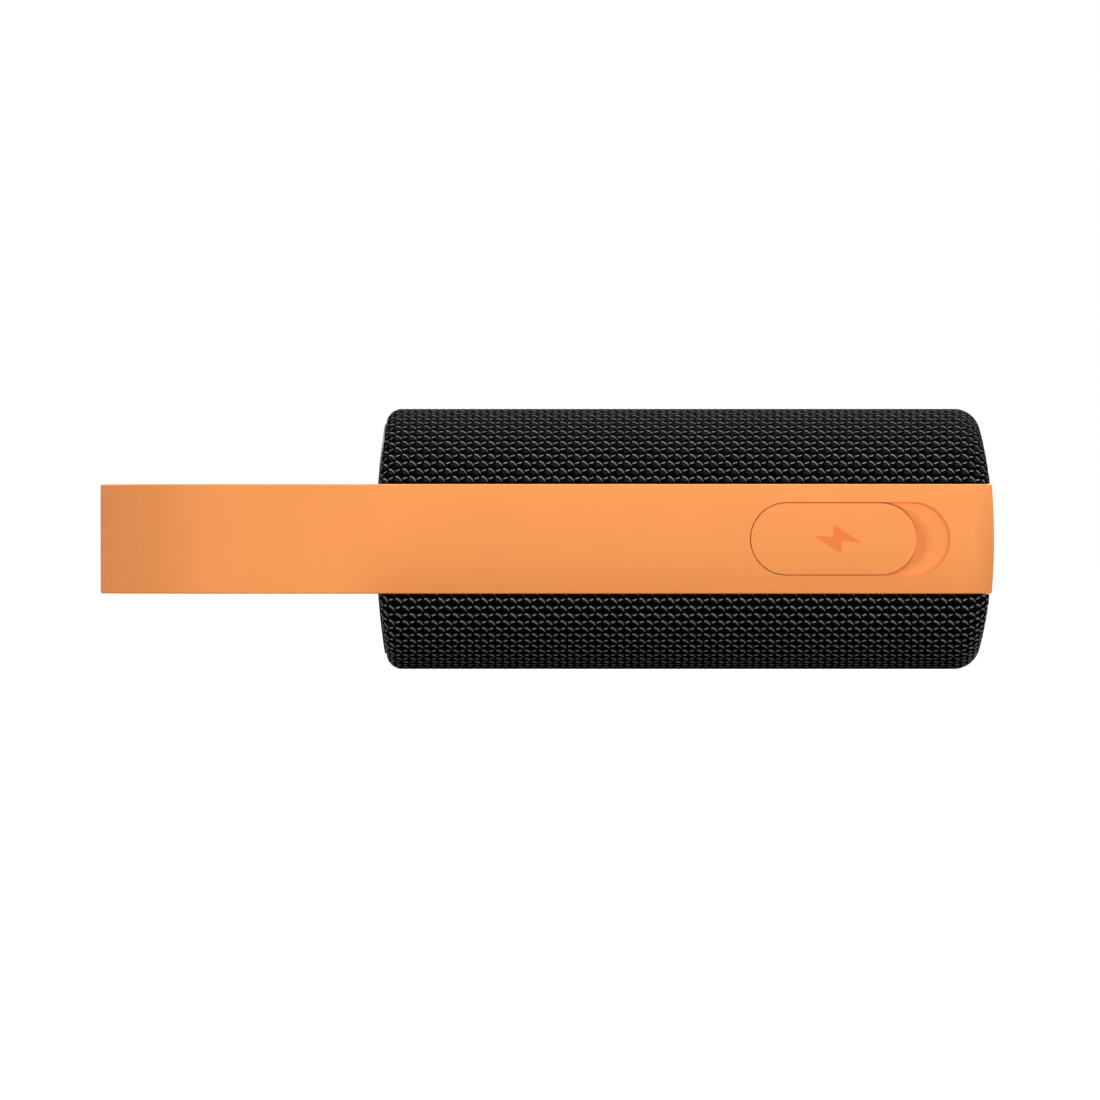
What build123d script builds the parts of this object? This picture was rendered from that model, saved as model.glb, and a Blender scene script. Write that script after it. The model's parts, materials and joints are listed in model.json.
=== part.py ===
"""A pocket bluetooth speaker: knit-covered body, silicone band with a carry loop, rubber port flap.

Millimetres. The speaker lies on its back. +X points to its rounded bottom end, -X to the carry loop,
+Z to the front fabric, and the charging port is on the -Y side. The floor is z = 0.
"""

import os
from math import cos, radians, sin, sqrt

from build123d import *

# ---- Body ----
THICKNESS = 40.0  # back fabric to front fabric
MID_Z = THICKNESS / 2
SIDE_RADIUS = THICKNESS / 2  # the sides are half-round
SIDE_CENTRE = 17.0  # where the half-rounds are centred, each side of the middle
BOTTOM_X = 68.6  # highest point of the bowed bottom end
BOTTOM_CROWN = 75.0
BOTTOM_EDGE = 4.0
TOP_X = -25.8  # highest point of the fabric round the top end
TOP_CROWN = 123.0
TOP_EDGE = 2.4
FABRIC = 0.9
GLUE = 0.05
REACH = 60.0  # half the size of a cutting block that is wider than the body

# ---- Housing shells ----
SHELL_OUTSIDE = FABRIC + GLUE  # all insets are measured in from the fabric's outer face
SHELL_INSIDE = 3.0
GROOVE_FLOOR = 2.0
GROOVE_INSIDE = 3.8
GROOVE_HALF = 8.45
RIB_HALF = 10.0
COVER_EDGE_HALF = 8.5  # the covers stop this far from the middle plane
CAVITY_TOP_X = -22.0
CAVITY_EDGE = 0.6

# ---- Band and carry loop ----
BAND_HALF = 8.4  # half of the band's width, measured along Z
BAND_PROUD = 0.25
BAND_INSIDE = 1.95
BAND_BOTTOM_X = 68.7
BAND_BOTTOM_CROWN = 109.0
BAND_EDGE = 0.3  # rounding along the band's edges
LOOP_THICKNESS = 2.2
LEG_Y = 36.0
LEG_END_X = -40.6
CORNER_RADIUS = 24.0
CORNER_TURN = 62.0  # degrees
TIP_RADIUS = 49.6
BLEND_FROM_X = -31.8  # the flat loop turns into the crowned band between these two
BLEND_TO_X = -22.5
NEARLY_FLAT = 0.01

# ---- Port flap, with its recess and finger scoop ----
FLAP_X = (31.4, 56.8)
FLAP_HALF = 5.47
FLAP_GAP = 0.13
FLAP_THICKNESS = 1.3
RECESS_DEPTH = 1.4
SCOOP_END_X = 61.95
SCOOP_LIP = 0.35
PORT_X = 44.1
PORT_LONG = 13.2
PORT_HIGH = 7.2
PLUG_GAP = 0.3
PLUG_DEPTH = 2.15
PLUG_ROOT = 0.3  # how far the plug runs into the flap's skin
ICON_DEPTH = 0.25
ICON_POINTS = ((-3.1, 0.57), (-0.15, 0.25), (0.04, 2.21), (4.28, -0.59), (1.34, -0.32), (1.07, -2.22))

# ---- Charging port ----
RECEPTACLE_LONG = 8.94  # the outside of a standard USB-C receptacle
RECEPTACLE_HIGH = 3.26
RECEPTACLE_WALL = 0.3
RECEPTACLE_Y = (-34.9, -27.55)
RECEPTACLE_BACK_Y = -28.0
RECEPTACLE_GAP = 0.12
TONGUE_HALF_X = 3.35
TONGUE_HALF_Z = 0.35
TONGUE_Y = (-34.2, -29.5)
POCKET_FLOOR_Y = -34.2
PORT_BLOCK_HALF_X = 8.4
PORT_BLOCK_HALF_Z = 4.6
PORT_BLOCK_Y = (-36.0, -30.5)
SEAL_GROOVE = 0.82  # how far the seal's groove reaches out from the receptacle
SEAL_GROOVE_Y = (-33.4, -32.0)
USB_BOARD_HALF_X = 8.5
USB_BOARD_Y = (-30.3, -22.6)
USB_BOARD_Z = (17.32, 18.32)
USB_POSTS = ((37.5, -25.0), (50.5, -25.0))
USB_POST_TOP_Z = 17.3

# ---- Top panel and buttons ----
PANEL_X = -26.0
PANEL_INSET = 2.4
PANEL_THICKNESS = 1.8
PANEL_GAP = 0.1
LEDGE_INSET = 5.0
BUTTON_Y = (-21.6, -10.8, 0.0, 10.8, 21.6)
BUTTON_RADIUS = 4.2
BUTTON_GAP = 0.25
BUTTON_FACE_X = -26.5
SYMBOL_HEIGHT = 0.2
FLANGE_RADIUS = 5.0
FLANGE_X = (-23.8, -23.0)
STEM_RADIUS = 1.0
STEM_END_X = -21.3
SWITCH_X = (-22.1, -19.7)
SWITCH_SIZE = 4.6
SWITCH_BORE = 1.3
SWITCH_BORE_END_X = -20.3
BUTTON_BOARD_X = (-19.7, -18.7)
BUTTON_BOARD_HALF_Y = 31.0
BUTTON_BOARD_HALF_Z = 7.0
PANEL_POST_Y = 29.0
PANEL_POST_RADIUS = 1.9
PANEL_HOLE_X = -23.5  # closed end of the screw holes in the posts
LED_Z = MID_Z + 9.5
LED_LONG = 6.0
LED_HIGH = 1.5

# ---- Driver ----
DRIVER_X = 30.0
FLANGE_TOP = 34.0
FLANGE_THICKNESS = 1.2
FRAME_RADIUS = 26.0
FRAME_OPENING = 21.8
EAR_RADIUS = 28.0
EAR_PAD = 2.6
BASKET_SEAT_Z = FLANGE_TOP - 10.9
PLATE_THICKNESS = 2.0
MAGNET_HEIGHT = 5.0
POLE_RADIUS = 6.0
MAGNET_RADIUS = 15.0
COIL_INSIDE = 6.35
COIL_OUTSIDE = 6.85
GAP_RADIUS = 7.3
CONE_RADIUS = 17.0
GRILLE_RADIUS = 24.5
GRILLE_HOLE = 1.5
GRILLE_PITCH = 4.2
GRILLE_THICKNESS = 1.2
GRILLE_STEP = 1.2

# ---- Passive radiator ----
RADIATOR_RADIUS = 22.5
RADIATOR_OPENING = 18.0
RADIATOR_Z = (4.35, 5.6)
RADIATOR_PLATE = 12.3
RADIATOR_GRILLE_RADIUS = 20.5

# ---- Electronics ----
MAIN_BOARD_X = (-14.5, -13.3)
MAIN_BOARD_HALF_Y = 26.0
MAIN_BOARD_Z = (7.3, 31.5)
CONNECTOR_DEPTH = 2.5
CONNECTOR_HALF_Y = 1.5
CONNECTOR_HALF_Z = 2.5
LEAD_START_X = MAIN_BOARD_X[1] + CONNECTOR_DEPTH + 0.05
LANE_Y = 24.4  # wires run beside the battery
UPPER_LANE_Z = 26.0
LOWER_LANE_Z = 15.5
BATTERY_X = (-11.6, -4.6)
BATTERY_HALF_Y = 22.0
TRAY_X = (-16.0, -1.9)
TRAY_Z = (5.95, 7.2)
TRAY_WALL = 1.4
TERMINAL_ANGLE = 127.3  # degrees round the driver's axis
TERMINAL_REACH = (19.35, 21.15)
TERMINAL_Z = (27.2, 30.1)
TERMINAL_WIDTH = 4.6

# ---- Fasteners and wires ----
HOUSING_SCREWS = ((0.5, -29.5), (0.5, 29.5), (61.5, -28.0), (61.5, 28.0))
BOSS_RADIUS = 2.6
SCREW_RADIUS = 1.0
SCREW_HEAD = 2.0
FIT = 0.05  # room round a screw or an inlaid piece
TRAY_SCREWS = ((-10.0, -18.0), (-10.0, 18.0), (-5.5, -18.0), (-5.5, 18.0))
HOUSING_HEAD_Z = (8.3, 9.7)
HOUSING_TIP_Z = 29.0
SMALL_SCREW = 0.8  # radius of the screws inside the housing
SMALL_HEAD = 1.5
PILOT = SMALL_SCREW + FIT
WIRE_RADIUS = 0.6
WIRE_PITCH = 1.6


# ---- Shared shapes ----
def block(x, y, z):
    """Box from its (low, high) pairs."""
    size = [high - low for low, high in (x, y, z)]
    middle = [(high + low) / 2 for low, high in (x, y, z)]
    return Pos(*middle) * Box(*size)


def rod_z(x, y, radius, z_low, z_high):
    return Pos(x, y, (z_low + z_high) / 2) * Cylinder(radius, z_high - z_low)


def rod_x(y, z, radius, x_low, x_high):
    return Pos((x_low + x_high) / 2, y, z) * Rot(0, 90, 0) * Cylinder(radius, x_high - x_low)


def turned(points, x=DRIVER_X):
    """Solid of revolution about the driver's axis, from its (radius, z) outline."""
    outline = Plane.XZ * make_face(Polyline(*points, close=True))
    return Pos(x, 0, 0) * revolve(outline, Axis.Z)


def band_zone(half):
    """Everything within half of the middle plane."""
    return block((-2 * REACH, 2 * REACH), (-REACH, REACH), (MID_Z - half, MID_Z + half))


def stadium_prism(radius, x_low, x_high):
    """The body's cross-section run along X: flat front and back, half-round sides."""
    plane = Plane(origin=(x_low, 0, MID_Z), x_dir=(0, 1, 0), z_dir=(1, 0, 0))
    return extrude(plane * SlotCenterToCenter(2 * SIDE_CENTRE, 2 * radius), x_high - x_low)


def sag(crown, offset):
    """How far an arc of radius crown falls back at offset from its highest point."""
    return crown - sqrt(crown**2 - offset**2)


def crowned_slab(top_x, top_crown, bottom_x, bottom_crown):
    """Slab between two ends that bow outward in X and run straight along Y."""
    high, low = MID_Z + SIDE_RADIUS + 5, MID_Z - SIDE_RADIUS - 5
    half = high - MID_Z
    top_edge_x = top_x + sag(top_crown, half)
    bottom_edge_x = bottom_x - sag(bottom_crown, half)
    outline = [
        ThreePointArc((bottom_edge_x, low), (bottom_x, MID_Z), (bottom_edge_x, high)),
        Line((bottom_edge_x, high), (top_edge_x, high)),
        ThreePointArc((top_edge_x, high), (top_x, MID_Z), (top_edge_x, low)),
        Line((top_edge_x, low), (bottom_edge_x, low)),
    ]
    return extrude(Plane.XZ * make_face(outline), REACH, both=True)


def pillow(inset, top_x=None, top_edge=None, bottom_x=None, bottom_crown=None):
    """The body's outer shape, moved in from the fabric by inset, with its end edges rounded."""
    top_x = TOP_X + inset if top_x is None else top_x
    top_edge = max(TOP_EDGE - inset, CAVITY_EDGE) if top_edge is None else top_edge
    bottom_x = BOTTOM_X - inset if bottom_x is None else bottom_x
    bottom_crown = BOTTOM_CROWN - inset if bottom_crown is None else bottom_crown
    slab = crowned_slab(top_x, TOP_CROWN - inset, bottom_x, bottom_crown)
    solid = stadium_prism(SIDE_RADIUS - inset, -2 * REACH, 2 * REACH) & slab
    solid = fillet(solid.faces().sort_by(Axis.X)[0].edges(), top_edge)
    return fillet(solid.faces().sort_by(Axis.X)[-1].edges(), max(BOTTOM_EDGE - inset, CAVITY_EDGE))


def top_sheet(outer, inner):
    """Bowed sheet that follows the top end, between two depths below the panel's face."""
    slab = crowned_slab(PANEL_X + outer, TOP_CROWN - outer, 0, BOTTOM_CROWN)
    return slab - crowned_slab(PANEL_X + inner, TOP_CROWN - inner, 2 * REACH, BOTTOM_CROWN)


def side_pill(x_low, x_high, half, y_low=-REACH, y_high=-SIDE_CENTRE):
    """Pill-shaped prism that crosses the port side, along Y."""
    plane = Plane(origin=((x_low + x_high) / 2, y_high, MID_Z), x_dir=(1, 0, 0), z_dir=(0, -1, 0))
    return extrude(plane * SlotOverall(x_high - x_low, 2 * half), y_high - y_low)


def save(name, shape):
    solids = shape.solids()
    whole = solids[0] if len(solids) == 1 else Compound(children=list(solids))
    export_step(whole, f"parts/{name}.step")


# ---- Outer shapes that several pieces are cut from ----
FABRIC_OUTSIDE = pillow(0)
SHELL_SHAPE = pillow(SHELL_OUTSIDE)
GROOVE_SHAPE = pillow(GROOVE_FLOOR)
BAND_SHAPE = pillow(-BAND_PROUD, top_edge=1.0, bottom_x=BAND_BOTTOM_X, bottom_crown=BAND_BOTTOM_CROWN)
RECESS_SHAPE = pillow(RECESS_DEPTH - BAND_PROUD, top_edge=1.0)
CAVITY = pillow(GROOVE_INSIDE, top_x=CAVITY_TOP_X) + (
    pillow(SHELL_INSIDE, top_x=CAVITY_TOP_X) - band_zone(RIB_HALF)
)


# ---- Fabric ----
def fabric(front):
    skin = FABRIC_OUTSIDE - pillow(FABRIC)
    edge = MID_Z + (COVER_EDGE_HALF if front else -COVER_EDGE_HALF)
    z = (edge, THICKNESS + 1) if front else (-1, edge)
    skin &= block((-REACH, 2 * REACH), (-REACH, REACH), z)
    return skin - stadium_prism(SIDE_RADIUS - PANEL_INSET + PANEL_GAP, -REACH, CAVITY_TOP_X)


# ---- Shells ----
def grille_seat(radius, front):
    """Opening in front of the driver or the radiator, with a step that the grille drops into."""
    z = (MID_Z, THICKNESS) if front else (0, MID_Z)
    step = rod_z(DRIVER_X, 0, radius + FIT, *z) - pillow(SHELL_OUTSIDE + GRILLE_THICKNESS + FIT)
    return step + rod_z(DRIVER_X, 0, radius - GRILLE_STEP, *z)


def mounting_ring(outer, inner, z_low, z_high):
    """Ring that stands in from the shell and carries a frame."""
    return ring(outer, inner, z_low, z_high) & GROOVE_SHAPE


def shell(front):
    z = (MID_Z, THICKNESS) if front else (0, MID_Z)
    half_space = block((-REACH, 2 * REACH), (-REACH, REACH), z)
    outside = GROOVE_SHAPE + (SHELL_SHAPE - band_zone(GROOVE_HALF))
    solid = outside - CAVITY
    solid -= stadium_prism(SIDE_RADIUS - LEDGE_INSET, -REACH, CAVITY_TOP_X + 1)
    seat = stadium_prism(SIDE_RADIUS - PANEL_INSET + PANEL_GAP, -REACH, CAVITY_TOP_X)
    solid -= seat & top_sheet(-1, PANEL_THICKNESS + GLUE)
    for x, y in HOUSING_SCREWS:
        solid += rod_z(x, y, BOSS_RADIUS, 0, THICKNESS) & GROOVE_SHAPE
    if front:
        solid += mounting_ring(FRAME_RADIUS + 0.2, FRAME_OPENING + 0.1, FLANGE_TOP + 0.5, THICKNESS)
        for x, y in driver_ears():
            solid += rod_z(x, y, EAR_PAD, FLANGE_TOP + FIT, THICKNESS) & GROOVE_SHAPE
    else:
        solid += mounting_ring(RADIATOR_RADIUS, RADIATOR_OPENING + 0.6, 0, RADIATOR_Z[0] - FIT)
        for x, y in USB_POSTS:
            solid += rod_z(x, y, 1.8, 0, USB_POST_TOP_Z) & GROOVE_SHAPE
        for x, y in TRAY_SCREWS:
            solid += rod_z(x, y, 2.0, 1.5, 5.9)
    solid &= half_space
    for x, y in HOUSING_SCREWS:
        solid -= rod_z(x, y, SCREW_RADIUS + FIT, 0, HOUSING_TIP_Z + 0.3)
        solid -= rod_z(x, y, SCREW_HEAD + FIT, 0, HOUSING_HEAD_Z[1] + FIT)
    if front:
        solid -= grille_seat(GRILLE_RADIUS, front)
        for x, y in driver_ears():
            solid -= rod_z(x, y, PILOT, FLANGE_TOP, 37.6)
    else:
        solid -= grille_seat(RADIATOR_GRILLE_RADIUS, front)
        for x, y in USB_POSTS:
            solid -= rod_z(x, y, PILOT, 12, USB_POST_TOP_Z + 0.2)
        for x, y in TRAY_SCREWS:
            solid -= rod_z(x, y, PILOT, 2.2, 6)
    return solid - port_block(0.2, (-REACH, -30)) - seal_ring(0.43, FIT)


def seal_ring(half_height, room=0.0):
    """Soft strip in the joint between the two shells, open at the top end and at the port."""
    ring = pillow(2.6 - room) - pillow(3.2 + room)
    ring &= band_zone(half_height)
    ring &= block((-19, 2 * REACH), (-REACH, REACH), (0, THICKNESS))
    return ring - port_block(0.8, (-REACH, -30))


def grille(radius, front):
    """Disc with holes on a triangular grid, bent to the shell's outer face."""
    rows = int(radius / (GRILLE_PITCH * sqrt(3) / 2)) + 1
    holes = []
    for row in range(-rows, rows + 1):
        for column in range(-rows, rows + 1):
            x = (column + (row % 2) / 2) * GRILLE_PITCH
            y = row * GRILLE_PITCH * sqrt(3) / 2
            if sqrt(x**2 + y**2) < radius - 3.2:
                holes.append(Pos(x, y) * Circle(GRILLE_HOLE))
    plate = Pos(DRIVER_X, 0, MID_Z if front else 0) * extrude(Circle(radius) - holes, MID_Z)
    return plate & (SHELL_SHAPE - pillow(SHELL_OUTSIDE + GRILLE_THICKNESS))


# ---- Band with its carry loop ----
def loop_area(offset):
    """Area inside the arch once its centre line is moved outward by offset."""
    turn = radians(CORNER_TURN)
    corner_y = LEG_Y - CORNER_RADIUS
    radius = CORNER_RADIUS + offset
    tip_centre_x = LEG_END_X - CORNER_RADIUS * sin(turn) + TIP_RADIUS * sin(turn)
    mid = (LEG_END_X - radius * sin(turn / 2), corner_y + radius * cos(turn / 2))
    end = (LEG_END_X - radius * sin(turn), corner_y + radius * cos(turn))
    leg = (LEG_END_X, LEG_Y + offset)
    foot = (BLEND_FROM_X, LEG_Y + offset)
    outline = [
        Line((foot[0], -foot[1]), foot),
        Line(foot, leg),
        ThreePointArc(leg, mid, end),
        ThreePointArc(end, (tip_centre_x - TIP_RADIUS - offset, 0), (end[0], -end[1])),
        ThreePointArc((end[0], -end[1]), (mid[0], -mid[1]), (leg[0], -leg[1])),
        Line((leg[0], -leg[1]), (foot[0], -foot[1])),
    ]
    return make_face(outline)


def blend_section(x, share):
    """Cross-section of one leg: flat at share 0, following the half-round side at share 1."""
    outer = SIDE_CENTRE + SIDE_RADIUS + BAND_PROUD
    inner = SIDE_CENTRE + SIDE_RADIUS - BAND_INSIDE
    outer_flat = LEG_Y + LOOP_THICKNESS / 2
    inner_flat = LEG_Y - LOOP_THICKNESS / 2
    outer_top = outer_flat + (outer - outer_flat) * share
    inner_top = inner_flat + (inner - inner_flat) * share
    outer_drop = max(sag(SIDE_RADIUS + BAND_PROUD, BAND_HALF) * share, NEARLY_FLAT)
    inner_drop = max(sag(SIDE_RADIUS - BAND_INSIDE, BAND_HALF) * share, NEARLY_FLAT)
    a = (outer_top - outer_drop, -BAND_HALF)
    b = (outer_top - outer_drop, BAND_HALF)
    c = (inner_top - inner_drop, BAND_HALF)
    d = (inner_top - inner_drop, -BAND_HALF)
    outline = [
        ThreePointArc(a, (outer_top, 0), b),
        Line(b, c),
        ThreePointArc(c, (inner_top, 0), d),
        Line(d, a),
    ]
    section = Plane(origin=(x, 0, MID_Z), x_dir=(0, 1, 0), z_dir=(1, 0, 0)) * make_face(outline)
    return fillet(section.vertices(), BAND_EDGE)


def leg_blend():
    steps = 6
    sections = []
    for step in range(steps + 1):
        share = step / steps
        x = BLEND_FROM_X + (BLEND_TO_X - BLEND_FROM_X) * share
        sections.append(blend_section(x, share**2 * (3 - 2 * share)))
    return loft(sections)


def flap_recess():
    under_flap = side_pill(FLAP_X[0] - FLAP_GAP, FLAP_X[1] + FLAP_GAP, FLAP_HALF + FLAP_GAP)
    under_flap -= RECESS_SHAPE
    scoop = side_pill(FLAP_X[0] - FLAP_GAP, SCOOP_END_X, FLAP_HALF + FLAP_GAP)
    face_y = -(SIDE_CENTRE + SIDE_RADIUS + BAND_PROUD)
    start = (FLAP_X[1] - FLAP_HALF, face_y + RECESS_DEPTH)
    bottom = (FLAP_X[1], face_y + RECESS_DEPTH)
    middle = ((FLAP_X[1] + SCOOP_END_X) / 2 + 0.4, face_y + RECESS_DEPTH - 0.3)
    end = (SCOOP_END_X + 0.1, face_y + SCOOP_LIP)
    outline = [
        Line(start, bottom),
        ThreePointArc(bottom, middle, end),
        Line(end, (end[0], face_y - 2)),
        Line((end[0], face_y - 2), (start[0], face_y - 2)),
        Line((start[0], face_y - 2), start),
    ]
    scoop &= extrude(make_face(outline), THICKNESS)
    return under_flap + scoop


def round_long_edges(band):
    """Rounds the edges that run along both sides of the band, but not across its cut ends."""
    limits = (MID_Z - BAND_HALF, MID_Z + BAND_HALF)
    long_edges = []
    for edge in band.edges():
        box = edge.bounding_box()
        on_side = any(abs(box.min.Z - z) < FIT and abs(box.max.Z - z) < FIT for z in limits)
        if on_side and max(box.size.X, box.size.Y) > LOOP_THICKNESS + 1:
            long_edges.append(edge)
    return fillet(long_edges, BAND_EDGE)


def strap_band():
    half = LOOP_THICKNESS / 2
    arch = Pos(0, 0, MID_Z - BAND_HALF) * extrude(loop_area(half) - loop_area(-half), 2 * BAND_HALF)
    wrap = (BAND_SHAPE - pillow(BAND_INSIDE)) & band_zone(BAND_HALF)
    wrap &= block((BLEND_TO_X, 2 * REACH), (-REACH, REACH), (0, THICKNESS))
    leg = leg_blend()
    band = round_long_edges(arch) + leg + mirror(leg, Plane.XZ) + round_long_edges(wrap)
    band -= flap_recess()
    return band - side_pill(PORT_X - PORT_LONG / 2, PORT_X + PORT_LONG / 2, PORT_HIGH / 2)


# ---- Port flap ----
def icon_area():
    plane = Plane(origin=(PORT_X, -REACH, MID_Z), x_dir=(1, 0, 0), z_dir=(0, -1, 0))
    return plane * make_face(Polyline(*ICON_POINTS, close=True))


def usb_flap():
    skin = BAND_SHAPE - pillow(FLAP_THICKNESS - BAND_PROUD, top_edge=1.0)
    flap = side_pill(*FLAP_X, FLAP_HALF) & skin
    half_long = PORT_LONG / 2 - PLUG_GAP
    plug_back_y = PLUG_DEPTH - (SIDE_CENTRE + SIDE_RADIUS + BAND_PROUD)
    plug = side_pill(PORT_X - half_long, PORT_X + half_long, PORT_HIGH / 2 - PLUG_GAP, y_high=plug_back_y)
    plug &= pillow(FLAP_THICKNESS - BAND_PROUD - PLUG_ROOT, top_edge=1.0)
    return flap + plug - charge_icon()


def charge_icon():
    layer = BAND_SHAPE - pillow(ICON_DEPTH - BAND_PROUD, top_edge=1.0)
    return extrude(icon_area(), -REACH) & layer


# ---- Charging port ----
def port_slot(grow, y):
    """Prism with the receptacle's outline moved out by grow, between the two depths in y."""
    plane = Plane(origin=(PORT_X, y[1], MID_Z), x_dir=(1, 0, 0), z_dir=(0, -1, 0))
    outline = plane * SlotOverall(RECEPTACLE_LONG + 2 * grow, RECEPTACLE_HIGH + 2 * grow)
    return extrude(outline, y[1] - y[0])


def port_block(grow, y):
    half_x, half_z = PORT_BLOCK_HALF_X + grow, PORT_BLOCK_HALF_Z + grow
    return block((PORT_X - half_x, PORT_X + half_x), y, (MID_Z - half_z, MID_Z + half_z))


def port_housing():
    """Block behind the flap: a pocket for the plug, a hole for the receptacle, a groove for its seal."""
    solid = port_block(0, PORT_BLOCK_Y) & GROOVE_SHAPE
    half_long = PORT_LONG / 2
    solid -= side_pill(PORT_X - half_long, PORT_X + half_long, PORT_HIGH / 2, y_high=POCKET_FLOOR_Y)
    solid -= port_slot(RECEPTACLE_GAP, (-REACH, 0))
    return solid - port_slot(SEAL_GROOVE, SEAL_GROOVE_Y)


def port_seal():
    y = (SEAL_GROOVE_Y[0] + FIT, SEAL_GROOVE_Y[1] - FIT)
    return port_slot(SEAL_GROOVE - FIT, y) - port_slot(0.02, (-REACH, 0))


def usb_c_receptacle():
    return port_slot(0, RECEPTACLE_Y) - port_slot(-RECEPTACLE_WALL, (-REACH, RECEPTACLE_BACK_Y))


def usb_c_tongue():
    back = port_slot(-RECEPTACLE_WALL - 0.02, (TONGUE_Y[1] - 0.1, RECEPTACLE_BACK_Y - 0.02))
    x = (PORT_X - TONGUE_HALF_X, PORT_X + TONGUE_HALF_X)
    return back + block(x, TONGUE_Y, (MID_Z - TONGUE_HALF_Z, MID_Z + TONGUE_HALF_Z))


def usb_board():
    board = block((PORT_X - USB_BOARD_HALF_X, PORT_X + USB_BOARD_HALF_X), USB_BOARD_Y, USB_BOARD_Z)
    for x, y in USB_POSTS:
        board -= rod_z(x, y, SMALL_SCREW + 0.1, 0, THICKNESS)
    return board


# ---- Top panel ----
def top_panel():
    panel = stadium_prism(SIDE_RADIUS - PANEL_INSET, -REACH, 0) & top_sheet(0, PANEL_THICKNESS)
    for side in (-1, 1):
        y = side * PANEL_POST_Y
        panel += rod_x(y, MID_Z, PANEL_POST_RADIUS, PANEL_X + 1, BUTTON_BOARD_X[0])
        panel -= rod_x(y, MID_Z, 0.75, PANEL_HOLE_X, 0)
    for y in BUTTON_Y:
        panel -= rod_x(y, MID_Z, BUTTON_RADIUS + BUTTON_GAP, -REACH, 0)
    return panel - led_bar(LED_LONG + 2 * FIT, LED_HIGH + 2 * FIT)


def led_bar(long, high):
    plane = Plane(origin=(-REACH, 0, LED_Z), x_dir=(0, 1, 0), z_dir=(1, 0, 0))
    return extrude(plane * SlotOverall(long, high), REACH)


def led_window():
    return led_bar(LED_LONG, LED_HIGH) & top_sheet(0, PANEL_THICKNESS + 0.3)


# ---- Buttons, each with a symbol that stands up from its face ----
def power_symbol():
    ring = Circle(1.9) - Circle(1.4) - Pos(0, 1.7) * Rectangle(1.5, 1.6)
    return ring + Pos(0, 1.4) * Rectangle(0.5, 1.9)


def minus_symbol():
    return Rectangle(3.6, 0.7)


def plus_symbol():
    return Rectangle(3.6, 0.7) + Rectangle(0.7, 3.6)


def play_symbol():
    return make_face(Polyline((-1.3, -1.8), (2.0, 0), (-1.3, 1.8), close=True))


def pair_symbol():
    rings = [Pos(side * 1.0, 0) * (Circle(1.5) - Circle(1.05)) for side in (-1, 1)]
    return rings[0] + rings[1]


def button(y, symbol):
    cap = rod_x(y, MID_Z, BUTTON_RADIUS, BUTTON_FACE_X, FLANGE_X[0])
    cap = fillet(cap.edges().sort_by(Axis.X)[0], 0.4)
    flange = rod_x(y, MID_Z, FLANGE_RADIUS, *FLANGE_X)
    stem = rod_x(y, MID_Z, STEM_RADIUS, FLANGE_X[1], STEM_END_X)
    face = Plane(origin=(BUTTON_FACE_X, y, MID_Z), x_dir=(0, 1, 0), z_dir=(-1, 0, 0))
    return cap + flange + stem + extrude(face * symbol, SYMBOL_HEIGHT)


def tact_switches():
    half = SWITCH_SIZE / 2
    switches = []
    for y in BUTTON_Y:
        body = block(SWITCH_X, (y - half, y + half), (MID_Z - half, MID_Z + half))
        switches.append(body - rod_x(y, MID_Z, SWITCH_BORE, -REACH, SWITCH_BORE_END_X))
    return Compound(children=switches)


def button_board():
    half_y, half_z = BUTTON_BOARD_HALF_Y, BUTTON_BOARD_HALF_Z
    board = block(BUTTON_BOARD_X, (-half_y, half_y), (MID_Z - half_z, MID_Z + half_z))
    for side in (-1, 1):
        board -= rod_x(side * PANEL_POST_Y, MID_Z, 0.8, -REACH, 0)
    return board


def button_flex():
    """Flat ribbon that bends from the button board to the main board."""
    left, right = BUTTON_BOARD_X[1], MAIN_BOARD_X[0]
    radius = (right - left) / 2
    tail_z, bend_z = 23.0, 26.0
    outer = [
        Line((left, tail_z), (left, bend_z)),
        ThreePointArc((left, bend_z), ((left + right) / 2, bend_z + radius), (right, bend_z)),
        Line((right, bend_z), (right, tail_z)),
        Line((right, tail_z), (left, tail_z)),
    ]
    solid = extrude(Plane.XZ * make_face(outer), 4, both=True)
    inner = block((left + 0.2, right - 0.2), (-REACH, REACH), (0, bend_z))
    hollow = Pos((left + right) / 2, 0, bend_z) * Rot(90, 0, 0) * Cylinder(radius - 0.2, REACH)
    return solid - inner - hollow


# ---- Driver ----
def driver_ears():
    half = EAR_RADIUS / sqrt(2)
    return [(DRIVER_X + sx * half, sy * half) for sx in (-1, 1) for sy in (-1, 1)]


def driver_frame():
    low = FLANGE_TOP - FLANGE_THICKNESS
    seat = BASKET_SEAT_Z
    frame = turned(
        [
            (FRAME_OPENING + 0.6, FLANGE_TOP),
            (FRAME_RADIUS, FLANGE_TOP),
            (FRAME_RADIUS, low),
            (FRAME_OPENING + 1.2, low),
            (15.6, seat + 1.0),
            (15.6, seat),
            (7.8, seat),
            (7.8, seat + 1.0),
            (14.4, seat + 1.0),
            (14.4, seat + 2.0),
            (FRAME_OPENING, low),
            (FRAME_OPENING, FLANGE_TOP - 0.65),
            (FRAME_OPENING + 0.6, FLANGE_TOP - 0.65),
        ]
    )
    for x, y in driver_ears():
        ear = rod_z(x, y, EAR_PAD, low, FLANGE_TOP)
        frame += ear - rod_z(DRIVER_X, 0, FRAME_RADIUS - 1, 0, THICKNESS)
        frame -= rod_z(x, y, 0.95, 0, THICKNESS)
    for step in range(6):
        place = Pos(DRIVER_X, 0, seat + 5.4) * Rot(0, 0, 60 * step + 30) * Pos(18, 0, 0)
        frame -= place * Box(9, 9, 5.6)
    return frame


def ring(outer, inner, z_low, z_high):
    return rod_z(DRIVER_X, 0, outer, z_low, z_high) - rod_z(DRIVER_X, 0, inner, 0, THICKNESS)


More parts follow.
